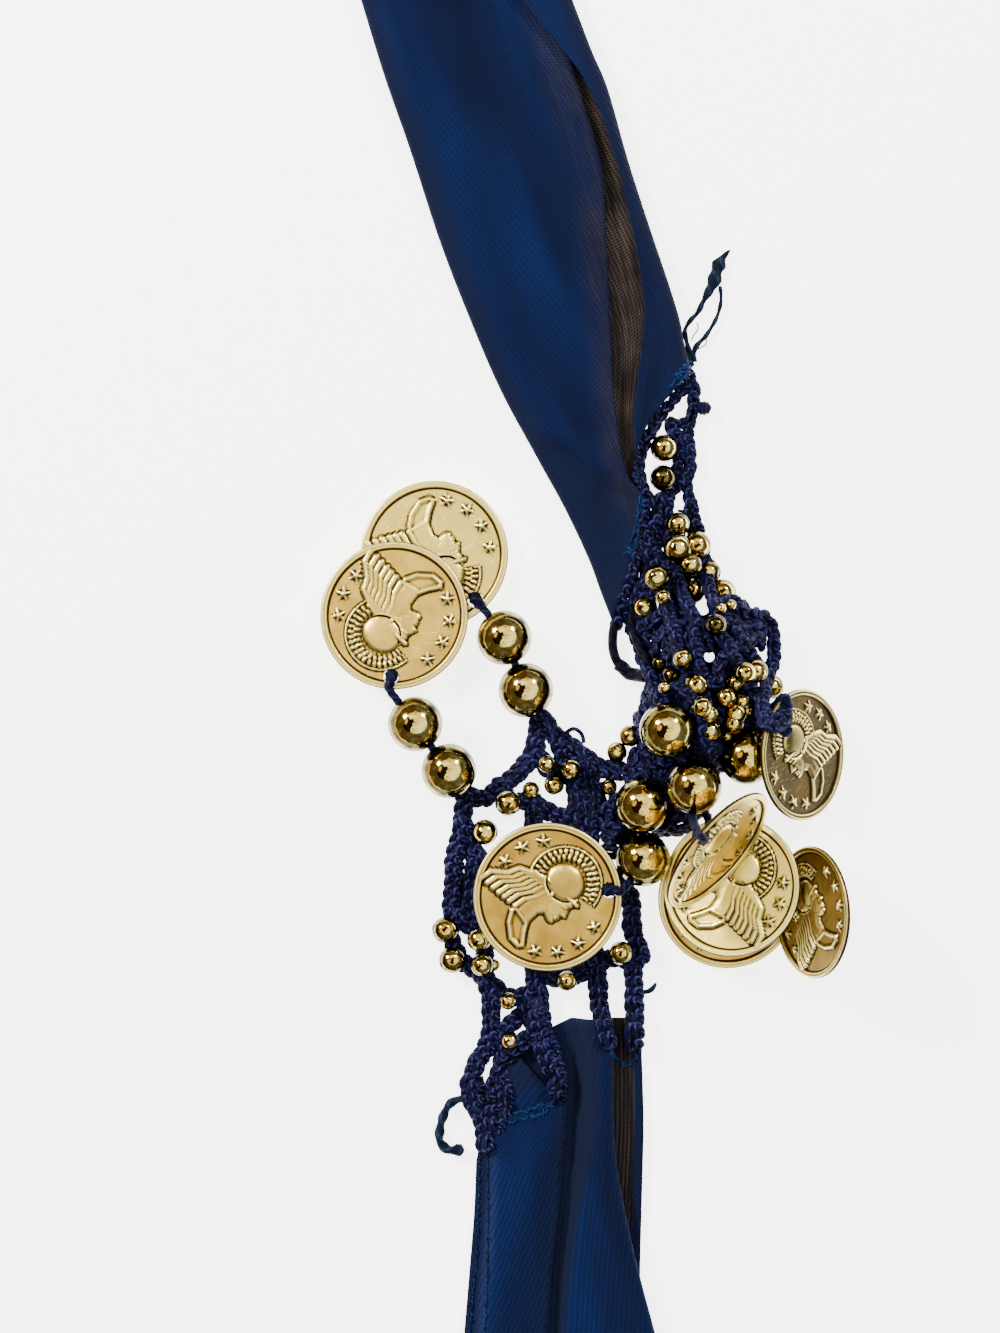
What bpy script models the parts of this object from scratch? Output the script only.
"""Belly dance hip scarf: two chiffon ties joined by a crocheted band with bead and coin drops, lying flat.

Lengths in the tables are millimetres: x to the right and y up the view from above that they were read
from, z up from the surface. The scarf lies as if dropped: the band is crumpled into a small heap, and
the ties leave it at the top and at the bottom and curve away to the left.
"""

import math

import bmesh
import bpy
import numpy as np
from mathutils import Matrix, Vector

MM = 0.001

# Driving sizes, in millimetres
EYE_HEIGHT = 450.0  # places in the tables were read from above, from this height over the surface
WALL = 1.0  # cloth
PITCH = 1.3  # from one cloth layer's middle to the next one's
GAP = 0.35  # between pieces that touch
CORD = 1.1  # radius of a crocheted chain
SUNK = 0.2  # how far a chain's round underside is pressed flat on the surface
LARGE_COIN = 10.5  # radius
PILE_COIN = 9.9
SMALL_COIN = 9.2
COIN_THICK = 0.8
HOLE_RADIUS = 1.1
HOLE_INSET = 1.8  # of the hole's middle from the coin's edge
BEAD_RADIUS = 3.9
TIE_LENGTH = 480.0
BEND_RADIUS = 300.0  # of both ties, past the part that the view shows
BEND_STEPS = 13
TURN_ROOM = 1.2  # from a fold's outside to where the cloth runs flat, where it turns back by one layer
WIDE_TURN_ROOM = 1.8  # the same where it turns back by two layers

WELD = 0.001
FLOOR = CORD - SUNK  # height of a chain's middle where it lies on the surface


def material(name, colour, roughness, metallic=0.0):
    made = bpy.data.materials.new(name)
    made.use_nodes = True
    shader = made.node_tree.nodes["Principled BSDF"]
    shader.inputs["Base Color"].default_value = (*colour, 1.0)
    shader.inputs["Roughness"].default_value = roughness
    shader.inputs["Metallic"].default_value = metallic
    return made


def seen(x, y, z):
    """The real place of a point at height z that covers (x, y) on the surface when seen from above."""
    share = 1.0 - z / EYE_HEIGHT
    return Vector((x * share, y * share, z))


def add_object(name, mesh, look):
    mesh.materials.clear()
    mesh.materials.append(look)
    made = bpy.data.objects.new(name, mesh)
    bpy.context.collection.objects.link(made)
    return made


def mesh_of(form, name):
    """A mesh in metres from a bmesh in millimetres."""
    bmesh.ops.scale(form, vec=(MM, MM, MM), verts=form.verts)
    bmesh.ops.recalc_face_normals(form, faces=form.faces)
    mesh = bpy.data.meshes.new(name)
    form.to_mesh(mesh)
    form.free()
    return mesh


def spline(points, step):
    """Points about a step apart on a Catmull-Rom curve through the given ones."""
    points = [Vector(p) for p in points]
    ends = [2 * points[0] - points[1], *points, 2 * points[-1] - points[-2]]
    path = []
    for a, b, c, d in zip(ends, ends[1:], ends[2:], ends[3:]):
        count = max(1, round((c - b).length / step))
        for k in range(count):
            t = k / count
            path.append(
                0.5 * (2 * b + (c - a) * t + (2 * a - 5 * b + 4 * c - d) * t**2 + (3 * b - a - 3 * c + d) * t**3)
            )
    path.append(points[-1])
    return path


def tube_mesh(routes, sides):
    """Round tubes along the routes, in one mesh: a route is (radius, points), in millimetres."""
    curve = bpy.data.curves.new("route", "CURVE")
    curve.dimensions = "3D"
    curve.bevel_depth = MM
    curve.bevel_resolution = sides // 2 - 2
    curve.use_fill_caps = True
    for radius, points in routes:
        line = curve.splines.new("POLY")
        line.points.add(len(points) - 1)
        for place, point in zip(line.points, points):
            place.co = (*(point * MM), 1.0)
            place.radius = radius
    holder = bpy.data.objects.new("route", curve)
    bpy.context.collection.objects.link(holder)
    mesh = bpy.data.meshes.new_from_object(holder.evaluated_get(bpy.context.evaluated_depsgraph_get()))
    bpy.data.objects.remove(holder)
    bpy.data.curves.remove(curve)
    form = bmesh.new()
    form.from_mesh(mesh)
    bmesh.ops.remove_doubles(form, verts=form.verts, dist=WELD * MM)
    bmesh.ops.recalc_face_normals(form, faces=form.faces)
    form.to_mesh(mesh)
    form.free()
    return mesh


# Cloth: a section's path has points (across, height, set back), read from its left end to its right
def level(layer):
    return WALL / 2 + layer * PITCH


def fold(edge, start_layer, end_layer, side, set_back=0.0, steps=3):
    """A round turn whose outside touches edge: side 1 turns back at the right, -1 at the left."""
    radius = abs(end_layer - start_layer) * PITCH / 2
    middle = (level(start_layer) + level(end_layer)) / 2
    upward = 1 if end_layer > start_layer else -1
    centre = edge - side * (radius + WALL / 2)
    turn = [math.pi * (k / steps - 0.5) for k in range(steps + 1)]
    return [(centre + side * radius * math.cos(a), middle + upward * radius * math.sin(a), set_back) for a in turn]


def ramp(start, end, start_layer, end_layer, set_back=0.0, steps=3):
    """A soft rise or fall between two layers."""
    path = []
    for k in range(steps + 1):
        share = (1 - math.cos(math.pi * k / steps)) / 2
        layer = start_layer + (end_layer - start_layer) * share
        path.append((start + (end - start) * k / steps, level(layer), set_back))
    return path


def run(start, end, layer, start_back=0.0, end_back=0.0, steps=3):
    """Points inside a flat stretch of one layer."""
    shares = [k / steps for k in range(1, steps)]
    return [
        (start + (end - start) * s, level(layer), start_back + (end_back - start_back) * s)
        for s in shares
    ]


def wall_ring(path):
    """The path's points moved half a wall to each side, as one closed ring."""
    flat = [Vector((p[0], p[1])) for p in path]
    ring = {1: [], -1: []}
    for k, point in enumerate(flat):
        along = (flat[min(k + 1, len(flat) - 1)] - flat[max(k - 1, 0)]).normalized()
        for side in ring:
            moved = point + side * WALL / 2 * Vector((-along.y, along.x))
            ring[side].append((moved.x, max(moved.y, 0.0), path[k][2]))
    return ring[1] + ring[-1][::-1]


def cloth(name, stations, look):
    """A cloth wall through stations (left end's place, direction across, direction along, fade, path)."""
    form = bmesh.new()
    rings = []
    for origin, across, along, fade, path in stations:
        ring = []
        for distance, height, set_back in wall_ring(path):
            place = origin + across * distance + along * (set_back * fade)
            ring.append(form.verts.new((place.x, place.y, height)))
        rings.append(ring)
    for near, far in zip(rings, rings[1:]):
        for k in range(len(near)):
            n = (k + 1) % len(near)
            form.faces.new((near[k], near[n], far[n], far[k]))
    for ring in (rings[0], rings[-1]):
        half = len(ring) // 2
        for k in range(half - 1):
            form.faces.new((ring[k], ring[k + 1], ring[-2 - k], ring[-1 - k]))
    return add_object(name, mesh_of(form, name), look)


def heading(degrees):
    return Vector((math.cos(math.radians(degrees)), math.sin(math.radians(degrees))))


def bend(start, start_degrees, turn, length, steps):
    """Middles and headings along an arc, turn 1 to the left of the heading and -1 to its right."""
    places = []
    side = heading(start_degrees + 90 * turn)
    centre = start + side * BEND_RADIUS
    for k in range(1, steps + 1):
        angle = length * k / steps / BEND_RADIUS
        degrees = start_degrees + turn * math.degrees(angle)
        places.append((centre - heading(degrees + 90 * turn) * BEND_RADIUS, degrees))
    return places


# Upper tie, from its end at the band: both ends of each section, and how much of the section's
# width the left flap covers and how much the right flap covers
UPPER_SECTIONS = (
    # left_x, left_y, right_x, right_y, left_flap, right_flap, fade
    (16.0, 6.5, 27.2, 41.9, 0.47, 0.47, 1.0),
    (14.4, 10.6, 26.6, 44.4, 0.43, 0.47, 0.7),
    (12.7, 15.2, 26.0, 46.9, 0.39, 0.46, 0.4),
    (9.3, 22.4, 25.5, 49.6, 0.45, 0.35, 0.1),
    (5.0, 30.2, 24.0, 54.5, 0.57, 0.17, 0.0),
    (0.0, 39.5, 22.1, 60.2, 0.70, 0.12, 0.0),
    (-4.6, 50.2, 20.0, 66.6, 0.81, 0.10, 0.0),
    (-8.6, 60.6, 18.0, 72.9, 0.87, 0.10, 0.0),
    (-12.9, 73.8, 15.3, 82.4, 0.875, 0.12, 0.0),
    (-16.4, 83.8, 12.9, 88.1, 0.90, 0.15, 0.0),
    (-19.9, 95.2, 8.6, 99.5, 0.90, 0.24, 0.0),
)
UPPER_END_BOW = 4.0  # how far the tie's end is set back beside the left flap
FLAP_END = 0.47  # share of the end's width where the left flap stops
UPPER_HEADING = 108.0
UPPER_SEEN_LENGTH = 80.0
SQUARED_AFTER = 3  # steps past the view in which the tie's sections turn square to its length
NARROWEST_FLAP = 2.6
LEFT_FLAP_PAST_VIEW = (0.9, 0.3)  # shares of the width where the part in view ends and at the free end
RIGHT_FLAP_PAST_VIEW = (0.24, 0.2)
FREE_WIDTH = 44.0  # of both ties at their free ends, still folded


def upper_path(width, left_flap, right_flap):
    """The cloth's two edges are turned up over its back: the left one first, the right one over it."""
    left = width * left_flap
    right = max(width * right_flap, NARROWEST_FLAP)

    def bow(place):
        past_flap = (place / width - FLAP_END) / (1 - FLAP_END)
        return UPPER_END_BOW * math.sin(math.pi * min(max(past_flap, 0.0), 1.0) ** 0.75)

    path = [(left, level(1))]
    path += [(x, z) for x, z, _ in run(left, TURN_ROOM, 1)]
    path += [(x, z) for x, z, _ in fold(0.0, 1, 0, -1)]
    path += [(x, z) for x, z, _ in run(TURN_ROOM, width - WIDE_TURN_ROOM, 0, steps=5)]
    path += [(x, z) for x, z, _ in fold(width, 0, 2, 1)]
    path += [(width - right, level(2))]
    return [(x, z, bow(x)) for x, z in path]


def build_upper_tie(look):
    stations = []
    for left_x, left_y, right_x, right_y, left_flap, right_flap, fade in UPPER_SECTIONS:
        left, right = Vector((left_x, left_y)), Vector((right_x, right_y))
        across = (right - left).normalized()
        width = (right - left).length
        inward = Vector((-across.y, across.x))
        stations.append((left, across, inward, fade, upper_path(width, left_flap, right_flap)))
    last_width = width
    middle = (left + right) / 2
    last_angle = math.degrees(math.atan2(across.y, across.x))
    past_view = bend(middle, UPPER_HEADING, 1, TIE_LENGTH - UPPER_SEEN_LENGTH, BEND_STEPS)
    for k, (place, degrees) in enumerate(past_view):
        share = (k + 1) / BEND_STEPS
        settle = min(1.0, (k + 1) / SQUARED_AFTER)
        angle = last_angle + (degrees - 90 - last_angle) * settle
        width = last_width + (FREE_WIDTH - last_width) * share**2
        across = heading(angle)
        flaps = [start + (end - start) * share for start, end in (LEFT_FLAP_PAST_VIEW, RIGHT_FLAP_PAST_VIEW)]
        path = upper_path(width, *flaps)
        stations.append((place - across * width / 2, across, heading(degrees), 0.0, path))
    return cloth("tie_upper", stations, look)


# Lower tie, from its end at the band: where its hems, folds and tucks lie at each distance down
LOWER_SECTIONS = (
    # y, left_hem, left_fold, left_tuck, pleat_tuck, pleat_fold, right_hem
    (-50.1, -2.9, 9.4, 2.2, 13.3, 16.0, 20.0),
    (-57.0, -2.9, 9.3, 2.1, 13.3, 16.1, 20.3),
    (-64.8, -3.1, 9.1, 1.9, 13.2, 16.2, 20.5),
    (-70.6, -3.4, 8.7, 1.6, 12.8, 16.6, 20.4),
    (-77.9, -3.7, 8.3, 1.3, 12.3, 17.9, 20.2),
    (-85.5, -4.3, 7.4, 0.7, 11.5, 19.6, 20.0),
    (-94.9, -5.1, 6.6, 0.0, 10.7, 22.1, 20.0),
)
LOWER_FADE = 20.5  # down to here the layers' different ends are evened out
LOWER_HEADING = -90.0
LOWER_SEEN_LENGTH = 45.0
HEM_BACK, FOLD_BACK, TUCK_BACK = 14.7, 9.5, 9.0  # how far each part's cut end lies from the tie's end
HEM_STRIP = 0.7  # flat at the left hem, before the cloth rises
LEFT_RISE_END = 1.3  # before the left tuck
PLEAT_RISE_START, PLEAT_RISE_END = 3.0, 0.6  # before the pleat's tuck
RIGHT_STRIP = 2.0  # least width of the flat part at the right hem


def lower_path(left_fold, left_tuck, pleat_tuck, pleat_fold, right_hem):
    """A flat panel, a fold back under it, and a pleat, all measured from the left hem."""
    path = [(0.0, level(0), HEM_BACK)]
    path += ramp(HEM_STRIP, left_tuck - LEFT_RISE_END, 0, 2, HEM_BACK)
    path += run(left_tuck - LEFT_RISE_END, left_fold - TURN_ROOM, 2, HEM_BACK, FOLD_BACK)
    path += fold(left_fold, 2, 1, 1, FOLD_BACK)
    path += run(left_fold - TURN_ROOM, left_tuck + TURN_ROOM, 1, FOLD_BACK, TUCK_BACK)
    path += fold(left_tuck, 1, 0, -1, TUCK_BACK)
    path += run(left_tuck + TURN_ROOM, pleat_tuck - PLEAT_RISE_START, 0, TUCK_BACK, 0.0, steps=4)
    path += ramp(pleat_tuck - PLEAT_RISE_START, pleat_tuck - PLEAT_RISE_END, 0, 2)
    path += fold(pleat_fold, 2, 1, 1)
    path += fold(pleat_tuck, 1, 0, -1)
    path += [(max(right_hem, pleat_tuck + RIGHT_STRIP), level(0), 0.0)]
    return path


def build_lower_tie(look):
    stations = []
    down = Vector((0.0, -1.0))
    right = Vector((1.0, 0.0))
    end = LOWER_SECTIONS[0][0]
    for y, left_hem, *rest in LOWER_SECTIONS:
        path = lower_path(*(x - left_hem for x in rest))
        fade = max(0.0, 1.0 - (end - y) / LOWER_FADE)
        stations.append((Vector((left_hem, y)), right, down, fade, path))
    widths = [x - left_hem for x in rest]
    middle = Vector((left_hem + widths[-1] / 2, y))
    past_view = bend(middle, LOWER_HEADING, -1, TIE_LENGTH - LOWER_SEEN_LENGTH, BEND_STEPS)
    for k, (place, degrees) in enumerate(past_view):
        share = (k + 1) / BEND_STEPS
        grown = 1.0 + (FREE_WIDTH / widths[-1] - 1.0) * share**2
        across = heading(degrees + 90)
        path = lower_path(*(w * grown for w in widths))
        stations.append((place - across * widths[-1] * grown / 2, across, heading(degrees), 0.0, path))
    return cloth("tie_lower", stations, look)


# Crocheted band: chains as routes of points (x, y, z), as seen from above, z at the chain's middle
F = FLOOR
OVER_CLOTH = level(0) + WALL / 2 + GAP + CORD  # lying on one layer of cloth
UNDER_COIN = 3.3  # chains piled up under the lower coin

UPPER_CHAINS = (
    ((27.7, 39.7, F), (27.5, 36.6, F), (26.9, 33.8, F), (27.1, 30.9, F), (27.1, 28.1, F), (26.7, 25.9, F),
     (27.1, 23.8, F), (28.0, 20.5, F), (28.9, 17.4, 1.5), (29.5, 14.5, 2.6)),
    ((24.7, 34.6, F), (25.0, 33.2, F), (26.6, 32.4, F)),
    ((27.1, 28.1, F), (26.0, 26.4, F), (22.9, 23.4, F), (22.6, 20.5, F), (22.4, 17.5, 1.6), (22.9, 14.5, 2.8)),
    ((24.2, 24.6, F), (24.0, 20.0, F), (24.6, 16.5, 2.2), (25.2, 14.5, 3.2)),
    ((27.3, 22.9, F), (25.8, 19.8, F), (25.4, 17.0, 1.8), (25.2, 14.5, 3.2)),
    ((22.9, 14.5, 2.8), (25.2, 14.5, 3.2), (29.5, 14.5, 2.6)),
)
HEAP_CHAINS = (
    ((22.9, 12.6, 3.4), (23.8, 9.0, 5.6), (25.0, 5.0, 8.3), (25.6, 1.0, 10.0)),
    ((25.4, 12.6, 4.0), (26.6, 9.0, 7.0), (27.9, 6.8, 9.0), (28.0, 3.5, 10.2), (28.3, 0.8, 11.0),
     (29.3, -1.6, 11.2), (31.0, -2.4, 11.0), (31.4, 0.6, 10.8), (32.9, 2.4, 9.6), (34.3, 4.9, 8.0)),
    ((29.5, 12.6, 3.4), (30.4, 9.5, 6.5), (31.5, 5.0, 9.4), (34.5, -0.5, 10.0), (36.6, -5.0, 8.4), (37.3, -7.4, 7.5)),
    ((18.3, 7.2, F), (19.6, 3.8, 1.6), (20.6, 0.6, 3.4), (21.6, -1.6, 5.5), (22.3, -4.2, 8.0)),
    ((16.1, 4.6, F), (15.6, 2.6, F), (16.4, 0.2, F), (18.3, -1.2, 1.6), (20.6, -1.4, 3.6)),
    ((16.1, 4.6, F), (17.6, 4.6, F), (18.9, 3.0, 1.2)),
    ((18.3, -1.2, 1.6), (18.3, -3.3, F)),
    ((31.0, 8.8, 7.0), (33.4, 9.4, 5.8), (34.7, 7.6, 6.4), (37.3, 7.4, 4.2), (38.9, 5.4, 3.2), (39.1, 1.6, 3.6),
     (38.4, -0.9, 5.0), (37.4, -3.8, 6.6), (37.3, -7.4, 7.5), (38.8, -8.2, 7.8)),
    ((30.7, 8.5, 7.4), (33.2, 5.6, 8.6), (36.2, 1.2, 7.6), (38.0, -1.6, 5.6)),
    ((23.0, -4.2, 9.8), (25.3, -3.0, 11.2), (27.3, -4.4, 12.2), (28.8, -6.4, 12.8), (29.0, -9.4, 13.0),
     (30.2, -12.5, 12.2)),
    ((18.2, -14.9, 2.0), (19.6, -14.6, 3.6), (22.0, -13.6, 6.0)),
)
LOWER_CHAINS = (
    ((17.4, -14.9, F), (14.4, -14.5, F), (12.0, -12.9, F), (10.3, -11.4, F), (8.0, -9.9, F), (5.8, -7.4, F),
     (4.9, -11.4, F), (3.9, -13.6, F), (1.6, -15.9, F), (-0.4, -17.4, F), (-2.3, -18.8, F), (-4.9, -18.7, F),
     (-5.4, -22.6, F), (-6.3, -26.2, F), (-6.6, -29.9, F), (-6.9, -32.6, F), (-6.6, -35.5, F),
     (-3.3, -37.4, F), (-1.9, -38.0, F)),
    ((-5.4, -22.6, F), (-3.6, -27.1, F), (-4.1, -30.8, F), (-4.3, -34.1, F), (-3.3, -36.6, F), (-1.9, -38.0, F),
     (-2.3, -41.0, F), (-2.0, -44.9, F), (-1.4, -46.9, F), (-1.3, -49.5, F), (-1.4, -52.4, F), (-2.0, -54.5, F),
     (-3.4, -56.8, F), (-4.3, -59.5, F), (-4.1, -61.8, F), (-3.2, -63.3, F)),
    ((-0.4, -17.4, F), (1.8, -19.2, F), (4.6, -19.5, F), (7.9, -21.2, F), (10.3, -21.9, 1.4), (12.8, -23.2, 1.8)),
    ((8.0, -9.9, F), (9.6, -14.4, F), (11.0, -18.4, F), (10.3, -21.9, 1.4)),
    ((4.9, -11.4, F), (6.8, -14.6, F), (9.6, -14.4, F)),
    ((4.6, -19.5, F), (4.9, -24.0, 1.6), (5.0, -29.0, UNDER_COIN), (5.0, -37.0, UNDER_COIN), (4.9, -43.8, F),
     (5.0, -47.6, F), (5.6, -50.4, OVER_CLOTH), (7.0, -54.0, OVER_CLOTH), (8.4, -57.4, OVER_CLOTH)),
    ((12.0, -12.9, F), (13.1, -17.1, F), (12.8, -23.2, 1.8), (12.5, -29.0, UNDER_COIN), (13.0, -36.5, UNDER_COIN),
     (13.7, -42.6, F), (14.1, -48.3, F)),
    ((-3.6, -27.1, F), (0.0, -29.4, 1.8), (5.0, -30.5, UNDER_COIN), (12.5, -31.5, UNDER_COIN), (16.2, -30.0, F),
     (18.6, -33.4, F), (18.9, -37.6, F), (20.0, -41.2, F), (19.1, -42.6, F), (19.1, -48.3, F)),
    ((-1.9, -38.0, F), (1.4, -38.8, F), (4.6, -39.6, 1.8)),
    ((-2.0, -44.9, F), (1.2, -47.2, F), (5.0, -46.8, F)),
    ((4.9, -43.8, F), (9.5, -44.6, F), (13.7, -42.6, F), (17.0, -41.6, F), (19.1, -42.6, F)),
    ((5.0, -47.6, F), (2.7, -50.0, F), (0.6, -51.9, F), (-0.2, -53.6, F), (0.3, -56.4, F), (-0.6, -59.9, F),
     (-2.0, -62.9, F), (-3.2, -63.3, F)),
)
# The rounded solid that the heap's hidden layers share: middle and half sizes, as seen from above
HEAP_CORE = (
    # x, y, z, half_x, half_y, half_z
    (30.0, 2.4, 2.0, 7.6, 7.0, 7.2),
    (28.8, -7.0, 2.0, 8.6, 7.6, 8.6),
    (24.2, -16.4, 1.5, 5.6, 7.0, 5.6),
    (18.0, -22.6, 0.8, 3.2, 4.0, 3.4),
)
CHAIN_STEP = 2.0
VOXEL = 0.45  # grid that fuses chains into one skin
UPPER_SHARE, HEAP_SHARE, LOWER_SHARE = 0.1, 0.06, 0.1  # of the fused skins' faces kept


def crochet(name, chains, core, cutter, share, look):
    """Chains and rounded core fused into one skin, flat where it lies on the surface, cut clear of what it carries."""
    routes = [(CORD, spline([seen(*point) for point in chain], CHAIN_STEP)) for chain in chains]
    form = bmesh.new()
    form.from_mesh(tube_mesh(routes, 8))
    bmesh.ops.scale(form, vec=(1 / MM, 1 / MM, 1 / MM), verts=form.verts)
    for x, y, z, *half in core:
        placed = Matrix.Translation(seen(x, y, z)) @ Matrix.Diagonal((*half, 1.0))
        bmesh.ops.create_icosphere(form, subdivisions=3, radius=1.0, matrix=placed)
    made = add_object(name, mesh_of(form, name), look)
    fuse = made.modifiers.new("Fuse", "REMESH")
    fuse.mode = "VOXEL"
    fuse.voxel_size = VOXEL * MM
    fewer = made.modifiers.new("Fewer faces", "DECIMATE")
    fewer.ratio = share
    skin = bpy.data.meshes.new_from_object(made.evaluated_get(bpy.context.evaluated_depsgraph_get()))
    made.modifiers.clear()
    places = np.zeros(len(skin.vertices) * 3)
    skin.vertices.foreach_get("co", places)
    places = places.reshape(-1, 3)
    places[:, 2] = np.maximum(places[:, 2], 0.0)
    skin.vertices.foreach_set("co", places.ravel())
    skin.materials.clear()
    skin.materials.append(look)
    made.data = skin
    if cutter:
        cut = made.modifiers.new("Clear of beads and coins", "BOOLEAN")
        cut.operation = "DIFFERENCE"
        cut.object = cutter
    return made


# Drops: a coin hangs by a thread loop from two beads
COINS = (
    # name, x, y, z, tilt, rising_towards, hole_towards, radius
    ("coin_left_front", -15.1, 7.3, 2.7, 3.0, -60.0, -93.0, LARGE_COIN),
    ("coin_left_back", -9.35, 16.0, 1.05, 3.2, -45.0, -48.0, LARGE_COIN),
    ("coin_lower", 6.8, -32.9, 5.3, 1.0, 13.0, 6.0, LARGE_COIN),
    ("coin_pile_bottom", 32.5, -33.2, 1.05, 3.2, 90.0, 90.0, PILE_COIN),
    ("coin_pile_middle", 33.1, -31.4, 5.7, 20.0, -20.0, 110.0, PILE_COIN),
    ("coin_pile_leaning", 31.0, -26.2, 15.4, 65.0, 139.7, 139.7, PILE_COIN),
    ("coin_right_upper", 43.1, -12.6, 7.1, 46.0, 180.0, 120.0, SMALL_COIN),
    ("coin_right_lower", 44.7, -35.1, 10.2, 62.0, 0.0, 150.0, SMALL_COIN),
)
BEADS = (
    # name, x, y, z
    ("bead_left_front_1", -12.1, -8.2, BEAD_RADIUS),
    ("bead_left_front_2", -7.3, -14.9, BEAD_RADIUS),
    ("bead_left_back_1", 0.6, 4.1, BEAD_RADIUS),
    ("bead_left_back_2", 3.7, -3.4, BEAD_RADIUS),
    ("bead_lower_1", 20.4, -27.5, BEAD_RADIUS),
    ("bead_lower_2", 20.3, -19.8, 6.7),
    ("bead_heap_1", 23.9, -9.1, 12.6),
    ("bead_heap_2", 27.7, -17.1, 11.0),
    ("bead_right_1", 35.3, -12.9, 8.0),
)
THREAD = 0.35  # radius of a drop's thread
THREAD_SIDES = 5
LOOP_STEPS = 4
THREAD_ROOM = 0.2  # between a drop's thread and its coin
LOOP_PAST_RIM = 0.75
LOOP_PAST_HOLE = 0.6  # how far inside the hole's middle a thread turns
COIN_SIDES = 28
HOLE_SIDES = 10
BEAD_SIDES = 12
BEAD_RINGS = 8
FACET_SAG = 0.1  # how far a faceted ball's faces lie inside it


def coin_frame(x, y, z, tilt, rising, hole):
    """A coin's place: its middle at (x, y, z) as seen, raised towards one side, with its hole towards another."""
    side = Vector((*heading(rising), 0.0)).cross(Vector((0.0, 0.0, 1.0)))
    tilted = Matrix.Rotation(math.radians(tilt), 4, side)
    return Matrix.Translation(seen(x, y, z)) @ tilted @ Matrix.Rotation(math.radians(hole), 4, "Z")


def coin(name, frame, radius, look):
    """A flat disc with one round hole near its edge."""
    form = bmesh.new()
    rows = []
    for z in (-COIN_THICK / 2, COIN_THICK / 2):
        outer = [
            form.verts.new((radius * math.cos(a), radius * math.sin(a), z))
            for a in (2 * math.pi * k / COIN_SIDES for k in range(COIN_SIDES))
        ]
        inner = [
            form.verts.new((radius - HOLE_INSET + HOLE_RADIUS * math.cos(a), HOLE_RADIUS * math.sin(a), z))
            for a in (2 * math.pi * k / HOLE_SIDES for k in range(HOLE_SIDES))
        ]
        rows.append((outer, inner))
        edges = []
        for ring in (outer, inner):
            edges += [form.edges.new((ring[k - 1], ring[k])) for k in range(len(ring))]
        bmesh.ops.triangle_fill(form, edges=edges, use_beauty=True)
    for ring in (0, 1):
        low, high = rows[0][ring], rows[1][ring]
        for k in range(len(low)):
            form.faces.new((low[k - 1], low[k], high[k], high[k - 1]))
    bmesh.ops.transform(form, matrix=frame, verts=form.verts)
    return add_object(name, mesh_of(form, name), look)


def thread_loop(name, frame, radius, look):
    """A thread through the coin's hole and round its rim, back to the bead."""
    rise = COIN_THICK / 2 + THREAD_ROOM + THREAD
    outer = radius + LOOP_PAST_RIM - rise
    inner = radius - HOLE_INSET - LOOP_PAST_HOLE + rise
    turn = [math.pi * (k / LOOP_STEPS - 0.5) for k in range(LOOP_STEPS + 1)]
    ring = [(outer + rise * math.cos(a), rise * math.sin(a)) for a in turn]
    ring += [(inner - rise * math.cos(a), -rise * math.sin(a)) for a in turn]
    form = bmesh.new()
    rows = []
    for k, (along, height) in enumerate(ring):
        after, before = ring[(k + 1) % len(ring)], ring[k - 1]
        forward = Vector((after[0] - before[0], 0.0, after[1] - before[1])).normalized()
        outward = forward.cross(Vector((0.0, 1.0, 0.0)))
        centre = Vector((along, 0.0, height))
        rows.append([
            form.verts.new(centre + THREAD * (outward * math.cos(a) + Vector((0.0, 1.0, 0.0)) * math.sin(a)))
            for a in (2 * math.pi * side / THREAD_SIDES for side in range(THREAD_SIDES))
        ])
    for k, row in enumerate(rows):
        after = rows[(k + 1) % len(rows)]
        for s in range(THREAD_SIDES):
            form.faces.new((row[s - 1], row[s], after[s], after[s - 1]))
    bmesh.ops.transform(form, matrix=frame, verts=form.verts)
    return add_object(name, mesh_of(form, name), look)


def bead(name, x, y, z, look):
    form = bmesh.new()
    bmesh.ops.create_uvsphere(
        form, u_segments=BEAD_SIDES, v_segments=BEAD_RINGS, radius=BEAD_RADIUS,
        matrix=Matrix.Translation(seen(x, y, z)),
    )
    return add_object(name, mesh_of(form, name), look)


def cutter_of_drops():
    """The large beads and the coins, grown by the gap that touching pieces keep."""
    form = bmesh.new()
    for _, x, y, z in BEADS:
        placed = Matrix.Translation(seen(x, y, z))
        bmesh.ops.create_icosphere(form, subdivisions=2, radius=BEAD_RADIUS + GAP + FACET_SAG, matrix=placed)
    for _, x, y, z, tilt, rising, hole, radius in COINS:
        placed = coin_frame(x, y, z, tilt, rising, hole)
        bmesh.ops.create_cone(
            form, cap_ends=True, segments=COIN_SIDES, radius1=radius + GAP, radius2=radius + GAP,
            depth=COIN_THICK + 2 * GAP, matrix=placed,
        )
    made = add_object("cutter_drops", mesh_of(form, "cutter_drops"), bpy.data.materials[0])
    made.hide_render = True
    made.display_type = "WIRE"
    return made


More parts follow.
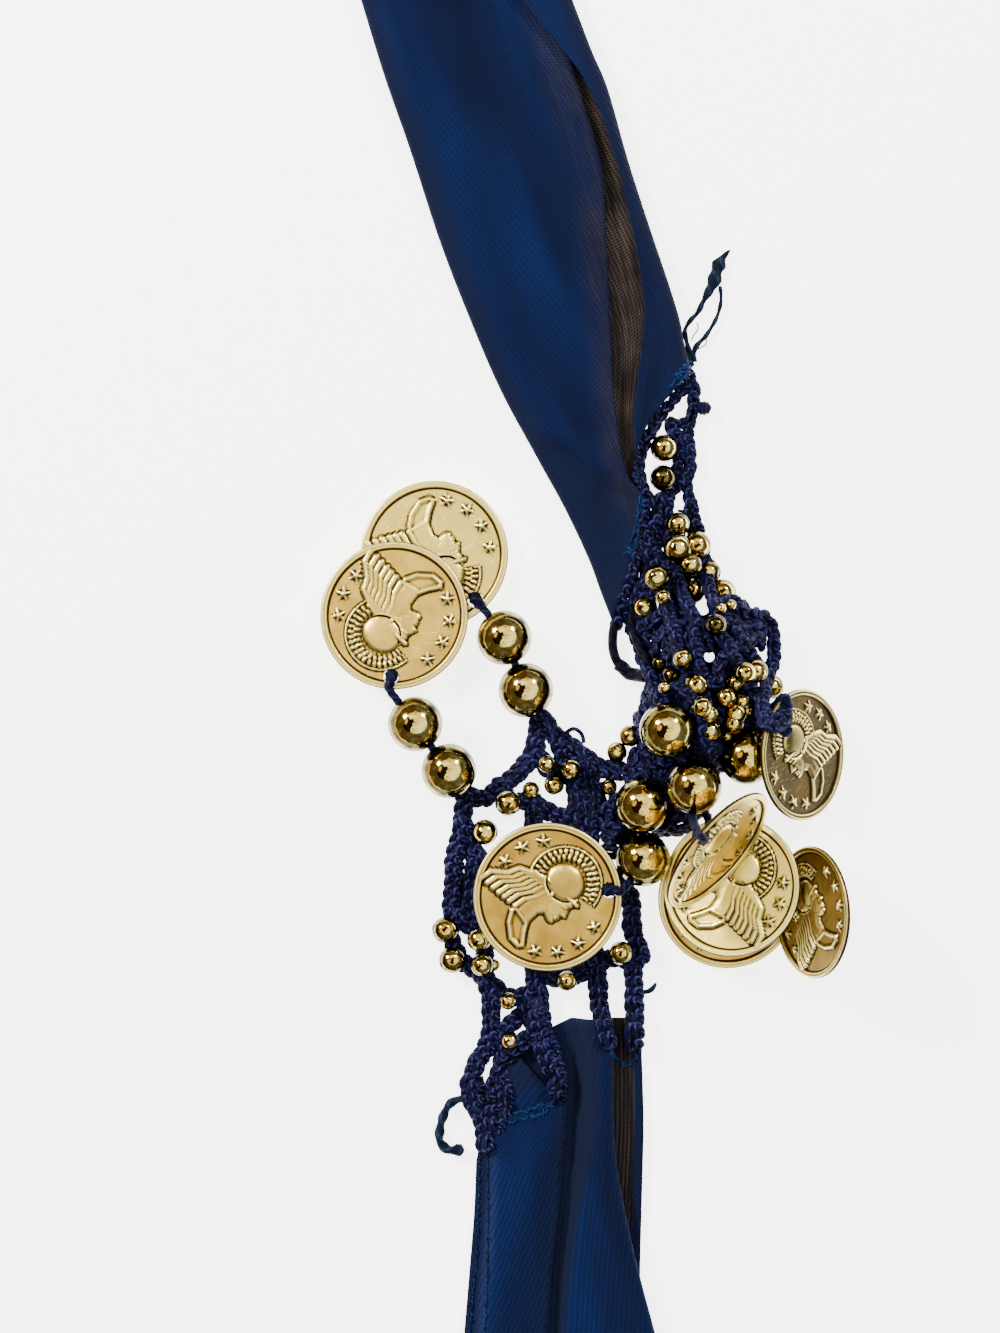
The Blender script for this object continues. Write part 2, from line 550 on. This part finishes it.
# Loose ends of thread beside the band
TAILS = (
    # name, radius, points
    ("thread_end_upper_a", 0.55, ((27.9, 43.8, 0.6), (27.2, 47.0, 0.6), (28.3, 51.4, 0.6), (29.7, 54.2, 0.6),
                                   (30.4, 57.5, 0.6), (32.6, 59.4, 0.6))),
    ("thread_end_upper_b", 0.55, ((29.5, 43.2, 0.6), (29.2, 46.4, 0.6), (30.4, 48.6, 0.6), (31.6, 53.2, 0.6),
                                   (31.9, 56.2, 0.6))),
    ("thread_end_lower_left", 0.8, ((-5.9, -62.2, 0.85), (-7.2, -62.4, 0.85), (-8.4, -64.6, 0.85),
                                     (-8.9, -67.0, 0.85), (-7.6, -69.0, 0.85), (-6.2, -69.0, 0.85))),
    ("thread_end_right", 0.55, ((20.8, -46.4, 0.6), (21.4, -46.2, 0.6), (22.4, -45.4, 0.6))),
)


def tail(name, radius, points, look):
    mesh = tube_mesh([(radius, spline([seen(*point) for point in points], 1.6))], 6)
    return add_object(name, mesh, look)


def centre_over_origin():
    """Moves the scarf so that the middle of its box on the surface is the origin."""
    lows, highs = [], []
    for piece in bpy.data.objects:
        if not piece.hide_render:
            corners = np.array([corner[:] for corner in piece.bound_box])
            lows.append(corners.min(axis=0))
            highs.append(corners.max(axis=0))
    middle = (np.min(lows, axis=0) + np.max(highs, axis=0)) / 2
    for piece in bpy.data.objects:
        piece.location = (-middle[0], -middle[1], 0.0)


def build():
    chiffon = material("Navy chiffon", (0.005, 0.02, 0.13), 0.75)
    yarn = material("Navy crochet yarn", (0.012, 0.012, 0.09), 0.6)
    gold = material("Pressed gold-tone coin", (0.75, 0.52, 0.2), 0.3, 1.0)
    chrome = material("Gold mirror bead", (0.8, 0.66, 0.3), 0.06, 1.0)
    build_upper_tie(chiffon)
    build_lower_tie(chiffon)
    cutter = cutter_of_drops()
    crochet("band_upper", UPPER_CHAINS, (), None, UPPER_SHARE, yarn)
    crochet("band_heap", HEAP_CHAINS, HEAP_CORE, cutter, HEAP_SHARE, yarn)
    crochet("band_lower", LOWER_CHAINS, (), cutter, LOWER_SHARE, yarn)
    for name, x, y, z, tilt, rising, hole, radius in COINS:
        frame = coin_frame(x, y, z, tilt, rising, hole)
        coin(name, frame, radius, gold)
        thread_loop(name.replace("coin", "thread"), frame, radius, yarn)
    for name, x, y, z in BEADS:
        bead(name, x, y, z, chrome)
    for name, radius, points in TAILS:
        tail(name, radius, points, yarn)
    bpy.context.view_layer.update()
    centre_over_origin()


for old in list(bpy.data.objects):
    bpy.data.objects.remove(old)
build()
